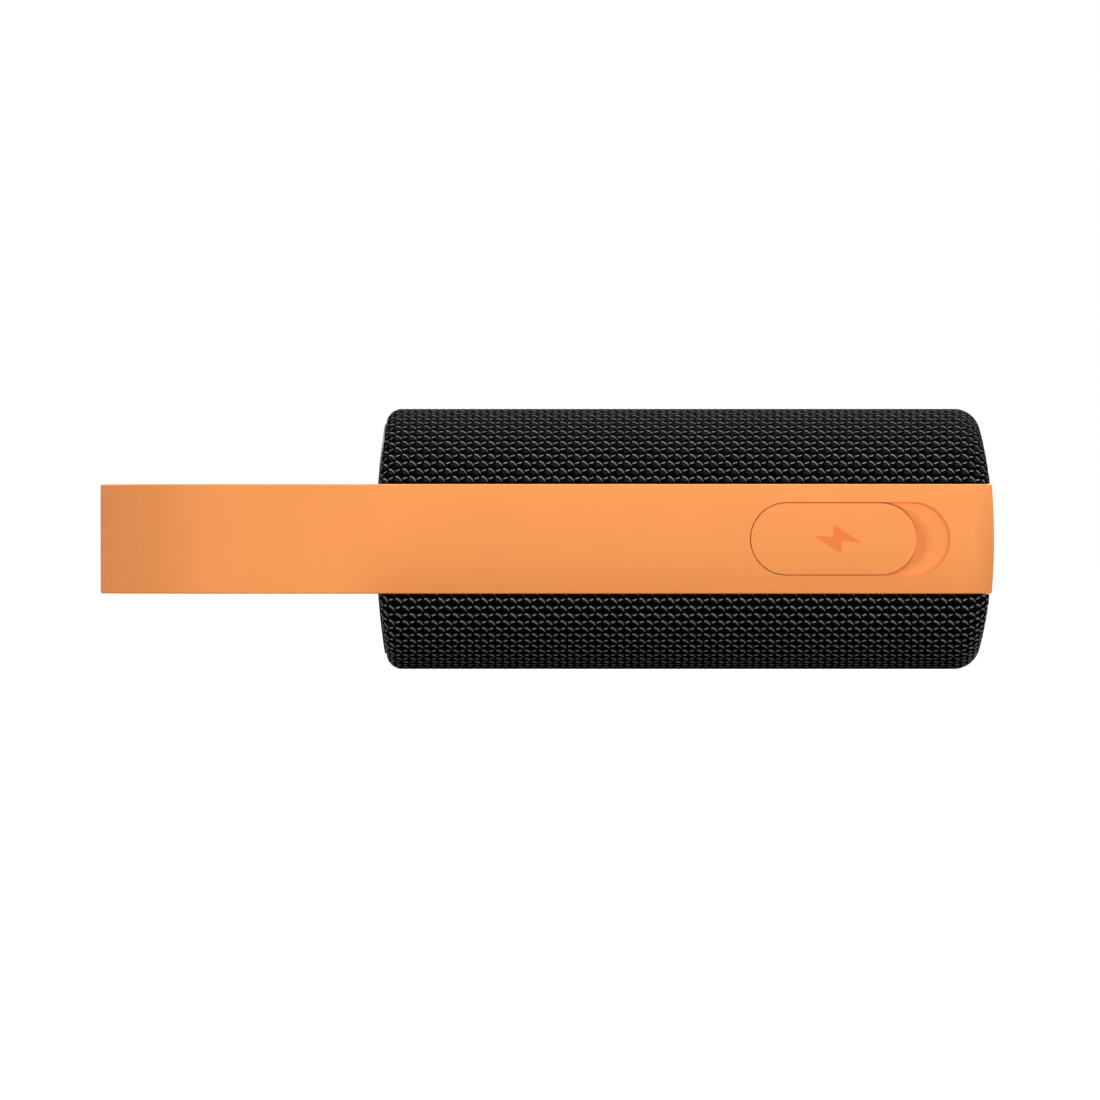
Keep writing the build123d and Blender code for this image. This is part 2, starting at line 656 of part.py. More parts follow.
def driver_terminal():
    """Block on one leg of the basket that the speaker leads end at."""
    reach, width = TERMINAL_REACH, TERMINAL_WIDTH
    tag = block(reach, (-width / 2, width / 2), TERMINAL_Z)
    return Pos(DRIVER_X, 0, 0) * Rot(0, 0, TERMINAL_ANGLE) * tag - driver_frame()


def driver_top_plate():
    return ring(MAGNET_RADIUS - 0.5, GAP_RADIUS, BASKET_SEAT_Z - PLATE_THICKNESS, BASKET_SEAT_Z)


def driver_magnet():
    top = BASKET_SEAT_Z - PLATE_THICKNESS
    return ring(MAGNET_RADIUS, 8.5, top - MAGNET_HEIGHT, top)


def driver_yoke():
    top = BASKET_SEAT_Z - PLATE_THICKNESS - MAGNET_HEIGHT
    disc = rod_z(DRIVER_X, 0, MAGNET_RADIUS, top - PLATE_THICKNESS, top)
    return disc + rod_z(DRIVER_X, 0, POLE_RADIUS, top, BASKET_SEAT_Z)


def voice_coil():
    return ring(COIL_OUTSIDE, COIL_INSIDE, BASKET_SEAT_Z - 3.1, FLANGE_TOP - 5.5)


def driver_cone():
    neck, rim = FLANGE_TOP - 6.1, FLANGE_TOP - 1.2
    outline = [(6.9, neck), (7.5, neck), (CONE_RADIUS, rim), (CONE_RADIUS, rim + 0.5), (6.9, neck + 0.6)]
    return turned(outline)


def dust_cap():
    height, wall, base_radius = 2.4, 0.35, 7.6
    base_z = FLANGE_TOP - 4.75
    radius = (base_radius**2 + height**2) / (2 * height)
    ball = Pos(DRIVER_X, 0, base_z + height - radius) * (Sphere(radius) - Sphere(radius - wall))
    return ball & block((0, REACH), (-REACH, REACH), (base_z, THICKNESS))


def half_roll(inner, outer, base_z, wall, inner_lip, outer_lip):
    """Rubber ring whose cross-section is a half circle with a flat lip on both sides."""
    middle = (inner + outer) / 2
    rise = 0.6 * ((outer - inner) / 2 - wall)
    foot = base_z + wall
    outline = [
        Line((inner - inner_lip, base_z), (inner, base_z)),
        ThreePointArc((inner, base_z), (middle, base_z + rise), (outer, base_z)),
        Line((outer, base_z), (outer + outer_lip, base_z)),
        Line((outer + outer_lip, base_z), (outer + outer_lip, foot)),
        Line((outer + outer_lip, foot), (outer, foot)),
        ThreePointArc((outer, foot), (middle, foot + rise), (inner, foot)),
        Line((inner, foot), (inner - inner_lip, foot)),
        Line((inner - inner_lip, foot), (inner - inner_lip, base_z)),
    ]
    return Pos(DRIVER_X, 0, 0) * revolve(Plane.XZ * make_face(outline), Axis.Z)


def driver_spider():
    """Corrugated disc that keeps the voice coil centred."""
    wave, wall, start, end, base_z = 0.5, 0.3, 7.2, 14.3, BASKET_SEAT_Z + 1.35
    count = 12
    radii = [start + (end - start) * step / count for step in range(count + 1)]
    lower = [(r, base_z + (wave if step % 2 else 0)) for step, r in enumerate(radii)]
    upper = [(r, z + wall) for r, z in reversed(lower)]
    return turned(lower + upper)


# ---- Radiator ----
def radiator_frame():
    return ring(RADIATOR_RADIUS, RADIATOR_OPENING, *RADIATOR_Z)


def radiator_plate():
    plate = rod_z(DRIVER_X, 0, RADIATOR_PLATE, RADIATOR_Z[1] + 0.2, RADIATOR_Z[1] + 2.4)
    return fillet(plate.edges(), 0.5)


# ---- Electronics ----
def main_board():
    return block(MAIN_BOARD_X, (-MAIN_BOARD_HALF_Y, MAIN_BOARD_HALF_Y), MAIN_BOARD_Z)


def board_chips():
    """Packages on the face towards the top end: processor, radio, inductor, amplifier."""
    face = MAIN_BOARD_X[0]
    chips = [
        block((face - 1.0, face), (-14, -7), (15, 22)),
        block((face - 0.9, face), (10, 15), (12, 17)),
        block((face - 1.4, face), (-22, -18), (11, 15)),
        block((face - 0.7, face), (17, 21), (20, 23)),
    ]
    return Compound(children=chips)


def board_connectors():
    x = (MAIN_BOARD_X[1], MAIN_BOARD_X[1] + CONNECTOR_DEPTH)
    connectors = []
    for y, z in ((LANE_Y, UPPER_LANE_Z), (-LANE_Y, UPPER_LANE_Z), (-LANE_Y, LOWER_LANE_Z)):
        y_span = (y - CONNECTOR_HALF_Y, y + CONNECTOR_HALF_Y)
        connectors.append(block(x, y_span, (z - CONNECTOR_HALF_Z, z + CONNECTOR_HALF_Z)))
    return Compound(children=connectors)


def battery_cell():
    cell = block(BATTERY_X, (-BATTERY_HALF_Y, BATTERY_HALF_Y), (7.6, 31.5))
    return fillet(cell.edges().filter_by(Axis.Z), 2.0)


def battery_pad():
    """Foam between the main board and the cell."""
    return block((MAIN_BOARD_X[1] + 0.1, BATTERY_X[0] - FIT), (-20, 20), (9, 30))


def battery_tray():
    """Floor under the board and the cell, with one wall that stands beside the driver."""
    y = (-BATTERY_HALF_Y - 0.4, BATTERY_HALF_Y + 0.4)
    tray = block(TRAY_X, y, TRAY_Z) + block((TRAY_X[1] - TRAY_WALL, TRAY_X[1]), y, (TRAY_Z[0], 28))
    for x, y in TRAY_SCREWS:
        tray -= rod_z(x, y, SMALL_SCREW + 0.15, 0, THICKNESS)
        tray -= rod_z(x, y, SMALL_HEAD + 0.2, TRAY_Z[1] - 0.5, TRAY_Z[1] + 1)
    return tray


# ---- Screws ----
def screw(x, y, radius, head_radius, tip_z, seat_z, head_z):
    """Screw along Z: shank from its tip to the seat, then a head out to head_z."""
    shank = rod_z(x, y, radius, min(tip_z, seat_z), max(tip_z, seat_z))
    head = rod_z(x, y, head_radius, min(seat_z, head_z), max(seat_z, head_z))
    socket_z = (head_z - 0.4, head_z) if head_z > seat_z else (head_z, head_z + 0.4)
    slot = block((x - head_radius * 0.6, x + head_radius * 0.6), (y - 0.15, y + 0.15), socket_z)
    cross = Pos(x, y, 0) * Rot(0, 0, 90) * Pos(-x, -y, 0) * slot
    return shank + head - slot - cross


def screw_set(places, *sizes):
    return Compound(children=[screw(x, y, *sizes).solids()[0] for x, y in places])


def housing_screws():
    head_low, seat = HOUSING_HEAD_Z
    return screw_set(HOUSING_SCREWS, SCREW_RADIUS, SCREW_HEAD, HOUSING_TIP_Z, seat, head_low)


def driver_screws():
    seat = FLANGE_TOP - FLANGE_THICKNESS
    return screw_set(driver_ears(), SMALL_SCREW, SMALL_HEAD, 37.4, seat, seat - 1.0)


def usb_screws():
    seat = USB_BOARD_Z[1] + 0.02
    return screw_set(USB_POSTS, SMALL_SCREW, SMALL_HEAD, 12.5, seat, seat + 1.0)


def tray_screws():
    seat = TRAY_Z[1] - 0.5
    return screw_set(TRAY_SCREWS, SMALL_SCREW, SMALL_HEAD, 2.4, seat, seat + 0.7)


def panel_screws():
    screws = []
    for side in (-1, 1):
        y = side * PANEL_POST_Y
        shank = rod_x(y, MID_Z, 0.7, PANEL_HOLE_X + 0.1, BUTTON_BOARD_X[1])
        screws.append(shank + rod_x(y, MID_Z, 1.5, BUTTON_BOARD_X[1], BUTTON_BOARD_X[1] + 1.0))
    return Compound(children=screws)


# ---- Wires ----
def wire(points, radius=WIRE_RADIUS, bend=2.0):
    path = FilletPolyline(*points, radius=bend)
    start = Plane(origin=path @ 0, z_dir=path % 0)
    return sweep(start * Circle(radius), path=path)


def wire_pair(points, bend=2.0):
    wires = []
    for side in (-0.5, 0.5):
        shift = side * WIRE_PITCH
        wires.append(wire([(x, y, z + shift) for x, y, z in points], bend=bend))
    return Compound(children=[w.solids()[0] for w in wires])


def speaker_leads():
    lane = (LANE_Y, UPPER_LANE_Z)
    return wire_pair([(LEAD_START_X, *lane), (6, *lane), (14.6, 19.5, 28.5), (17.15, 16.86, 28.5)])


def battery_leads():
    lane = (-LANE_Y, UPPER_LANE_Z)
    tab = (-8, -BATTERY_HALF_Y - 0.05, UPPER_LANE_Z)
    return wire_pair([(LEAD_START_X, *lane), (-8, *lane), tab], bend=1.2)


def usb_leads():
    start_x = PORT_X - USB_BOARD_HALF_X - 0.05
    lane = (-LANE_Y, LOWER_LANE_Z)
    return wire_pair([(start_x, -27.4, 19.3), (8, -27.4, 19.3), (4, *lane), (LEAD_START_X, *lane)])


# ---- Build and save ----
def main():
    os.makedirs("parts", exist_ok=True)
    save("front_fabric", fabric(front=True))
    save("rear_fabric", fabric(front=False))
    save("front_shell", shell(front=True))
    save("rear_shell", shell(front=False))
    save("housing_seal", seal_ring(0.4))
    save("front_grille", grille(GRILLE_RADIUS, front=True))
    save("rear_grille", grille(RADIATOR_GRILLE_RADIUS, front=False))
    save("strap_band", strap_band())
    save("usb_flap", usb_flap())
    save("charge_icon", charge_icon())
    save("port_housing", port_housing())
    save("port_seal", port_seal())
    save("usb_c_receptacle", usb_c_receptacle())
    save("usb_c_tongue", usb_c_tongue())
    save("usb_board", usb_board())
    save("top_panel", top_panel())
    save("led_window", led_window())
    symbols = [power_symbol(), minus_symbol(), play_symbol(), plus_symbol(), pair_symbol()]
    names = ["power", "volume_down", "play", "volume_up", "pair"]
    for name, y, symbol in zip(names, BUTTON_Y, symbols):
        save(f"button_{name}", button(y, symbol))
    save("tact_switches", tact_switches())
    save("button_board", button_board())
    save("button_flex", button_flex())
    save("driver_frame", driver_frame())
    save("driver_gasket", ring(25.2, 22.4, FLANGE_TOP + 0.02, FLANGE_TOP + 0.48))
    save("driver_terminal", driver_terminal())
    save("driver_top_plate", driver_top_plate())
    save("driver_magnet", driver_magnet())
    save("driver_yoke", driver_yoke())
    save("driver_cone", driver_cone())
    save("dust_cap", dust_cap())
    save("voice_coil", voice_coil())
    save("driver_surround", half_roll(17.75, 21.2, FLANGE_TOP - 0.6, 0.45, 0.4, 1.1))
    save("driver_spider", driver_spider())
    save("radiator_frame", radiator_frame())
    save("radiator_surround", half_roll(13.0, 17.6, RADIATOR_Z[1] + 0.05, 0.5, 0.35, 0.35))
    save("radiator_plate", radiator_plate())
    save("main_board", main_board())
    save("board_chips", board_chips())
    save("board_connectors", board_connectors())
    save("battery_cell", battery_cell())
    save("battery_pad", battery_pad())
    save("battery_tray", battery_tray())
    save("housing_screws", housing_screws())
    save("driver_screws", driver_screws())
    save("usb_screws", usb_screws())
    save("tray_screws", tray_screws())
    save("panel_screws", panel_screws())
    save("speaker_leads", speaker_leads())
    save("battery_leads", battery_leads())
    save("usb_leads", usb_leads())


main()
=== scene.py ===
"""Looks for the pocket bluetooth speaker: knitted covers, silicone band, panel, buttons and inner pieces."""

import json
from math import pi

import bpy
import numpy as np
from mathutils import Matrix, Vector

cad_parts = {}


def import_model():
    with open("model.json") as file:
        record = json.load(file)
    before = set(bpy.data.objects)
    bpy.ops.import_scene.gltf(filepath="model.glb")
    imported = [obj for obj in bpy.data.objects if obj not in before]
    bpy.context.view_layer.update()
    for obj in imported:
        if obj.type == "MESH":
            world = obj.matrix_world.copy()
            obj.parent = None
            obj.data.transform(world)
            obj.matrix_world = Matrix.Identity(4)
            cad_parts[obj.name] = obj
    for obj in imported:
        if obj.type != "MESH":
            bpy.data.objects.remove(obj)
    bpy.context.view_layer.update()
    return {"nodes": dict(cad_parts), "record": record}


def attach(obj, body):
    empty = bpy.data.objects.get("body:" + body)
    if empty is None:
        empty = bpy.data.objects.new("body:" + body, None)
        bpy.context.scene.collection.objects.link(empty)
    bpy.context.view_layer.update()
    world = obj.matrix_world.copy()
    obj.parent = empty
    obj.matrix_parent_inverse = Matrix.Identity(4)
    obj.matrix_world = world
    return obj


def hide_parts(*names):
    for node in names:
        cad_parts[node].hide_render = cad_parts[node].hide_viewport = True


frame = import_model()

MM = 0.001

# ---- Body, in millimetres: the same shape as the CAD ----
MID_Z = 20.0
SIDE_RADIUS = 20.0
SIDE_CENTRE = 17.0
BOTTOM_X = 68.6
BOTTOM_CROWN = 75.0
BOTTOM_EDGE = 4.0
TOP_X = -25.8
TOP_CROWN = 123.0
TOP_EDGE = 2.4
PANEL_INSET = 2.3
COVER_EDGE_HALF = 8.5  # the covers stop this far from the middle plane
SKIRT = 0.85  # how far the covers' edges turn in
BUTTON_FACE_X = -26.5
SYMBOL_HEIGHT = 0.2  # the buttons' symbols stand up from their faces, towards -X

# ---- Knit ----
STITCH = 2.2  # along X
ROW = 1.38  # round the body
KNIT_START_X = 3.45
FIRST_ROW = {True: 0.86, False: 1.1}  # from the edge to the first row's middle: front cover, rear cover
SAMPLES_LONG = 10  # mesh columns in a stitch
SAMPLES_ROW = 7  # mesh rows in a row of stitches
KNIT_DEPTH = 0.32
SHORT_STRAND_HEIGHT = 0.85  # the short strands' crowns, as a share of the long strands'
EDGE_ROLL = 0.6  # the covers' last stretch rolls in towards the shell
EDGE_ROLL_DEPTH = 0.3
TUCK_DEPTH = 0.1  # how far the covers' bottom edges lie below the surface
INSIDE_POINT = (21.0, 0.0, MID_Z)  # a point inside the body

# Each stitch shows two strands: (x from, x to, y from, y to, bow, half of its width), in millimetres
LONG_STRAND = (-0.05, 0.84, 0.34, -0.44, 2.2, 0.2)
SHORT_STRAND = (1.08, 1.68, 0.0, 0.22, 1.0, 0.18)
STRAND_CREST = 0.15  # the share of a strand's half width where its painted highlight is full
STRAND_START = (-0.12, 0.12)  # the shares of a strand's length between which its painted highlight brightens
STRAND_END = (1.1, 0.86)  # and between which the painted highlight fades to dark again
STEEP_SIDE = 1.3  # how far a strand's ridge reaches above its crown and below it, in half widths
GENTLE_SIDE = 3.4
END_STEEPNESS = 1.5  # how much shorter the ridge's ends are on its upper side
STITCH_START = -0.4  # where a stitch's own x starts
BODY_MIDDLE = (0.32, -0.1)  # the dark body of yarn that the long strand lies on, which gets a faint painted sheen
BODY_REACH = (0.74, 0.46)
# strength of the faint painted sheen on each stitch's body
BODY_PAINTED_SHEEN = 0.052

# ---- Camera ----
CAMERA_DISTANCE = 5.0  # metres, far enough for a nearly parallel view
PICTURE_WIDTH = 0.1697  # metres at the object
PICTURE_CENTRE = (0.00064, 0.0183)  # metres, X and Z
SENSOR = 36.0  # millimetres

# ---- Light ----
FILL_LIGHT = 0.4  # even light on the object
FLOOR_GLOW = 0.95  # brightness that the floor adds for the camera only
FLOOR_REACH = 40.0  # metres
LAMP_TARGET = (0.02, 0, 0.02)
LAMPS = {  # place, width and height in metres, power in watts
    "overhead": ((0.15, 0.25, 0.8), 0.5, 0.25, 8.0),
    "front_right": ((0.65, -0.85, 0.1), 0.5, 0.4, 6.9),
    "front_left": ((-0.8, -0.65, 0.1), 0.5, 0.4, 5.6),
}

# ---- Colours ----
ORANGE = (0.96, 0.338, 0.095)
ICON_ORANGE = (0.92, 0.225, 0.055)
BLACK_PLASTIC = (0.012, 0.012, 0.013)
RUBBER_BLACK = (0.022, 0.022, 0.024)
SYMBOL_GREY = (0.4, 0.4, 0.41)
YARN_BLACK = (0.0012, 0.0012, 0.0013)
# painted highlight colour for the strands' crowns
YARN_PAINTED_HIGHLIGHT = (0.235, 0.235, 0.239)
PAPER_DARK = (0.25, 0.25, 0.25)
PAPER_LIGHT = (0.27, 0.27, 0.27)


# ---- Node helpers ----
def new_material(name):
    """Empty node material with its output and Principled shader."""
    material = bpy.data.materials.new(name)
    material.use_nodes = True
    tree = material.node_tree
    shader = tree.nodes["Principled BSDF"]
    return material, tree, shader


def object_coordinates(tree):
    """Place on the object, in metres."""
    return tree.nodes.new("ShaderNodeTexCoord").outputs["Object"]


def noise(tree, vector, scale, detail=3.0):
    """Noise from 0 to 1, with scale features in each metre."""
    node = tree.nodes.new("ShaderNodeTexNoise")
    node.inputs["Scale"].default_value = scale
    node.inputs["Detail"].default_value = detail
    tree.links.new(vector, node.inputs["Vector"])
    return node.outputs["Fac"]


def ramp(tree, value, low, high, start=0.3, end=0.7):
    """Colour that goes from low to high as value goes from start to end."""
    node = tree.nodes.new("ShaderNodeValToRGB")
    node.color_ramp.elements[0].position = start
    node.color_ramp.elements[1].position = end
    node.color_ramp.elements[0].color = (*low, 1)
    node.color_ramp.elements[1].color = (*high, 1)
    tree.links.new(value, node.inputs["Fac"])
    return node.outputs["Color"]


def spread(tree, value, low, high):
    """Maps value from 0-1 to low-high."""
    node = tree.nodes.new("ShaderNodeMapRange")
    node.inputs["To Min"].default_value = low
    node.inputs["To Max"].default_value = high
    tree.links.new(value, node.inputs["Value"])
    return node.outputs["Result"]


def bump(tree, shader, height, strength, distance):
    """Gives the shader a relief of the given height, up to distance metres."""
    node = tree.nodes.new("ShaderNodeBump")
    node.inputs["Strength"].default_value = strength
    node.inputs["Distance"].default_value = distance
    tree.links.new(height, node.inputs["Height"])
    tree.links.new(node.outputs["Normal"], shader.inputs["Normal"])


def shade(colour, factor):
    """Colour made lighter or darker by factor."""
    return tuple(min(channel * factor, 1.0) for channel in colour)


def surface(name, colour, roughness, metallic=0.0, grain=6000.0, depth=0.00002, variation=0.12):
    """Moulded, plated or painted surface: fine grain, slightly uneven colour and gloss."""
    material, tree, shader = new_material(name)
    place = object_coordinates(tree)
    patches = noise(tree, place, scale=90.0)
    fine = noise(tree, place, scale=grain, detail=2.0)
    tone = ramp(tree, patches, shade(colour, 1 - variation), shade(colour, 1 + variation))
    tree.links.new(tone, shader.inputs["Base Color"])
    tree.links.new(spread(tree, patches, roughness - 0.06, roughness + 0.06), shader.inputs["Roughness"])
    shader.inputs["Metallic"].default_value = metallic
    bump(tree, shader, fine, strength=0.35, distance=depth)
    return material


# ---- Materials ----
def silicone(name, colour):
    """Soft-touch silicone: smooth, matt, with the faintest unevenness and dust-fine grain."""
    material, tree, shader = new_material(name)
    place = object_coordinates(tree)
    patches = noise(tree, place, scale=45.0)
    grain = noise(tree, place, scale=3200.0, detail=2.0)
    tone = ramp(tree, patches, shade(colour, 0.975), shade(colour, 1.02))
    tree.links.new(tone, shader.inputs["Base Color"])
    tree.links.new(spread(tree, grain, low=0.5, high=0.62), shader.inputs["Roughness"])
    shader.inputs["Specular IOR Level"].default_value = 0.15
    bump(tree, shader, grain, strength=0.25, distance=0.000012)
    return material


def calculate(tree, operation, *values):
    """Math node on sockets and numbers."""
    node = tree.nodes.new("ShaderNodeMath")
    node.operation = operation
    for socket, value in zip(node.inputs, values):
        if isinstance(value, (int, float)):
            socket.default_value = value
        else:
            tree.links.new(value, socket)
    return node.outputs[0]


def fade(tree, value, start, end):
    """Goes smoothly from 0 at start to 1 at end."""
    node = tree.nodes.new("ShaderNodeMapRange")
    node.interpolation_type = "SMOOTHSTEP"
    node.inputs["From Min"].default_value = start
    node.inputs["From Max"].default_value = end
    tree.links.new(value, node.inputs["Value"])
    return node.outputs["Result"]


def strand_mask(tree, x, y, strand):
    """1 on the crown of one strand of a stitch, falling to 0 at its sides and ends.

    The strand bows from its start to its end, and share goes from 0 to 1 along it.
    """
    x_from, x_to, y_from, y_to, bow, half_width = strand
    share = calculate(tree, "DIVIDE", calculate(tree, "SUBTRACT", x, x_from), x_to - x_from)
    bent = calculate(tree, "POWER", calculate(tree, "MAXIMUM", share, 0.0), bow)
    middle = calculate(tree, "MULTIPLY_ADD", bent, y_to - y_from, y_from)
    distance = calculate(tree, "ABSOLUTE", calculate(tree, "SUBTRACT", y, middle))
    across = fade(tree, distance, half_width, half_width * STRAND_CREST)
    ends = calculate(tree, "MULTIPLY", fade(tree, share, *STRAND_START), fade(tree, share, *STRAND_END))
    return calculate(tree, "MULTIPLY", across, ends)


def body_mask(tree, x, y):
    """1 in the middle of a stitch's dark body, falling to 0 at its edge."""
    across = calculate(tree, "DIVIDE", calculate(tree, "SUBTRACT", x, BODY_MIDDLE[0]), BODY_REACH[0])
    upward = calculate(tree, "DIVIDE", calculate(tree, "SUBTRACT", y, BODY_MIDDLE[1]), BODY_REACH[1])
    squares = [calculate(tree, "MULTIPLY", value, value) for value in (across, upward)]
    return fade(tree, calculate(tree, "ADD", *squares), start=1.0, end=0.3)


def knit_yarn(name):
    """Black filament yarn: near-black loops with painted grey highlights along the two strands of each
    stitch.
    """
    material, tree, shader = new_material(name)
    uv = tree.nodes.new("ShaderNodeUVMap")
    uv.uv_map = "knit"
    split = tree.nodes.new("ShaderNodeSeparateXYZ")
    tree.links.new(uv.outputs["UV"], split.inputs["Vector"])
    along, upward = split.outputs["X"], calculate(tree, "DIVIDE", split.outputs["Y"], ROW)
    row = calculate(tree, "ROUND", upward)
    column = calculate(tree, "MULTIPLY_ADD", row, 0.5, calculate(tree, "DIVIDE", along, STITCH))
    travel = calculate(tree, "MULTIPLY", column, STITCH)
    x = calculate(tree, "WRAP", travel, STITCH + STITCH_START, STITCH_START)
    y = calculate(tree, "MULTIPLY", calculate(tree, "SUBTRACT", upward, row), ROW)
    long_strand = strand_mask(tree, x, y, LONG_STRAND)
    short_strand = strand_mask(tree, x, y, SHORT_STRAND)
    strands = calculate(tree, "MAXIMUM", long_strand, short_strand)
    # faint painted sheen over each stitch's body
    body = calculate(tree, "MULTIPLY", body_mask(tree, x, y), BODY_PAINTED_SHEEN)
    place = object_coordinates(tree)
    fuzz = noise(tree, place, scale=5200.0, detail=4.0)
    uneven = spread(tree, noise(tree, place, scale=700.0), low=0.55, high=1.35)
    # Painted highlight: the strands' crowns lighten the base colour, made uneven by noise
    painted_highlight_unevenness = calculate(tree, "MULTIPLY", uneven, spread(tree, fuzz, low=0.6, high=1.4))
    painted_highlight = calculate(tree, "MULTIPLY", calculate(tree, "MAXIMUM", strands, body), painted_highlight_unevenness)
    tone = ramp(tree, painted_highlight, YARN_BLACK, YARN_PAINTED_HIGHLIGHT, start=0.0, end=1.0)
    tree.links.new(tone, shader.inputs["Base Color"])
    tree.links.new(spread(tree, fuzz, low=0.6, high=0.8), shader.inputs["Roughness"])
    shader.inputs["IOR"].default_value = 1.07
    height = calculate(tree, "MULTIPLY_ADD", fuzz, 0.25, strands)
    bump(tree, shader, height, strength=0.5, distance=0.00008)
    return material


def button_rubber(name):
    """Dark rubber with fine grain, whose raised symbols have light tops."""
    material, tree, shader = new_material(name)
    place = object_coordinates(tree)
    grain = noise(tree, place, scale=3500.0, detail=2.0)
    split = tree.nodes.new("ShaderNodeSeparateXYZ")
    tree.links.new(place, split.inputs["Vector"])
    halfway_up = (BUTTON_FACE_X - 0.5 * SYMBOL_HEIGHT) * MM
    near_top = (BUTTON_FACE_X - 0.9 * SYMBOL_HEIGHT) * MM
    symbol = fade(tree, split.outputs["X"], halfway_up, near_top)
    wear = spread(tree, noise(tree, place, scale=900.0), low=0.8, high=1.2)
    worn = calculate(tree, "MULTIPLY", symbol, wear)
    tone = ramp(tree, worn, RUBBER_BLACK, SYMBOL_GREY, start=0.0, end=1.0)
    tree.links.new(tone, shader.inputs["Base Color"])
    tree.links.new(spread(tree, grain, low=0.54, high=0.66), shader.inputs["Roughness"])
    bump(tree, shader, grain, strength=0.35, distance=0.00002)
    return material


def circuit_board(name):
    """Solder mask with faint copper tracks under it."""
    material, tree, shader = new_material(name)
    bricks = tree.nodes.new("ShaderNodeTexBrick")
    bricks.inputs["Scale"].default_value = 500.0
    bricks.inputs["Color1"].default_value = (0.008, 0.06, 0.03, 1)
    bricks.inputs["Color2"].default_value = (0.01, 0.075, 0.035, 1)
    bricks.inputs["Mortar"].default_value = (0.03, 0.14, 0.05, 1)
    tree.links.new(object_coordinates(tree), bricks.inputs["Vector"])
    tree.links.new(bricks.outputs["Color"], shader.inputs["Base Color"])
    shader.inputs["Roughness"].default_value = 0.35
    bump(tree, shader, bricks.outputs["Fac"], strength=0.3, distance=0.00003)
    return material


def cloth(name, colour, threads):
    """Plain cloth or foam: crossed threads."""
    material, tree, shader = new_material(name)
    place = object_coordinates(tree)
    waves = tree.nodes.new("ShaderNodeTexWave")
    waves.inputs["Scale"].default_value = threads
    waves.inputs["Distortion"].default_value = 1.5
    tree.links.new(place, waves.inputs["Vector"])
    tone = ramp(tree, waves.outputs["Fac"], shade(colour, 0.7), colour, start=0.2, end=0.8)
    tree.links.new(tone, shader.inputs["Base Color"])
    shader.inputs["Roughness"].default_value = 0.85
    bump(tree, shader, waves.outputs["Fac"], strength=0.5, distance=0.00008)
    return material


def make_finishes():
    """One material for each material slot of the record."""
    return {
        "knit": knit_yarn("knit_backing"),
        "shell_plastic": surface("shell_plastic", BLACK_PLASTIC, 0.55),
        "grille_metal": surface("grille_metal", (0.01, 0.01, 0.01), 0.5, depth=0.00003),
        "seal_rubber": surface("seal_rubber", (0.02, 0.02, 0.02), 0.7),
        "orange_silicone": silicone("orange_silicone", ORANGE),
        "icon_silicone": silicone("icon_silicone", ICON_ORANGE),
        "panel_plastic": surface("panel_plastic", (0.03, 0.03, 0.032), 0.42, grain=4500.0),
        "button_rubber": button_rubber("button_rubber"),
        "light_pipe": surface("light_pipe", (0.75, 0.76, 0.78), 0.3, variation=0.05),
        "circuit_board": circuit_board("circuit_board"),
        "chip_plastic": surface("chip_plastic", (0.015, 0.015, 0.016), 0.5),
        "white_plastic": surface("white_plastic", (0.7, 0.69, 0.64), 0.45, variation=0.05),
        "steel": surface("steel", (0.55, 0.55, 0.56), 0.3, metallic=1.0),
        "receptacle_steel": surface("receptacle_steel", (0.62, 0.62, 0.63), 0.18, metallic=1.0),
        "magnet_ferrite": surface("magnet_ferrite", (0.04, 0.04, 0.043), 0.75, grain=3000.0),
        "frame_metal": surface("frame_metal", (0.015, 0.015, 0.015), 0.4),
        "cone_paper": surface("cone_paper", (0.03, 0.03, 0.03), 0.8, grain=1800.0, depth=0.00006),
        "coil_copper": surface("coil_copper", (0.6, 0.25, 0.1), 0.3, metallic=1.0),
        "spider_cloth": cloth("spider_cloth", (0.5, 0.36, 0.12), 900.0),
        "radiator_weight": surface("radiator_weight", (0.25, 0.25, 0.26), 0.35, metallic=1.0),
        "foil": surface("foil", (0.6, 0.6, 0.62), 0.35, metallic=0.9, grain=900.0, depth=0.00008),
        "foam": cloth("foam", (0.03, 0.03, 0.03), 1500.0),
        "flex_film": surface("flex_film", (0.5, 0.2, 0.03), 0.25),
        "wire_cover": surface("wire_cover", (0.2, 0.012, 0.01), 0.4),
    }


def dress_nodes(finishes):
    """Gives each CAD node the finish that the record names for it."""
    for part in frame["record"]["subparts"]:
        node = frame["nodes"][part["node"]]
        node.data.materials.clear()
        node.data.materials.append(finishes[part["material_slot"]])


# ---- Knitted covers ----
def strand_height(x, y, strand):
    """Round-backed ridge that drops steeply above its crown and slopes gently away below it."""
    x_from, x_to, y_from, y_to, bow, half_width = strand
    share = np.clip((x - x_from) / (x_to - x_from), 0, 1)
    middle = y_from + (y_to - y_from) * share**bow
    beyond_end = np.maximum(np.abs(x - (x_from + x_to) / 2) - (x_to - x_from) / 2, 0)
    above = np.hypot(np.maximum(y - middle, 0), END_STEEPNESS * beyond_end) / (half_width * STEEP_SIDE)
    below = np.hypot(np.maximum(middle - y, 0), beyond_end) / (half_width * GENTLE_SIDE)
    return np.sqrt(np.clip(1 - above**2 - below**2, 0, 1))


def knit_height(along, upward):
    """Height of the knit, from 0 in the gaps to 1 on the strands' crowns, in half-offset rows."""
    height = np.zeros(along.shape)
    nearest = np.round(upward / ROW)
    for step in (-1, 0, 1):
        row = nearest + step
        x = np.mod(along / STITCH + row / 2, 1.0) * STITCH
        y = upward - row * ROW
        for shift in (-STITCH, 0, STITCH):
            height = np.maximum(height, strand_height(x + shift, y, LONG_STRAND))
            short = SHORT_STRAND_HEIGHT * strand_height(x + shift, y, SHORT_STRAND)
            height = np.maximum(height, short)
    return height


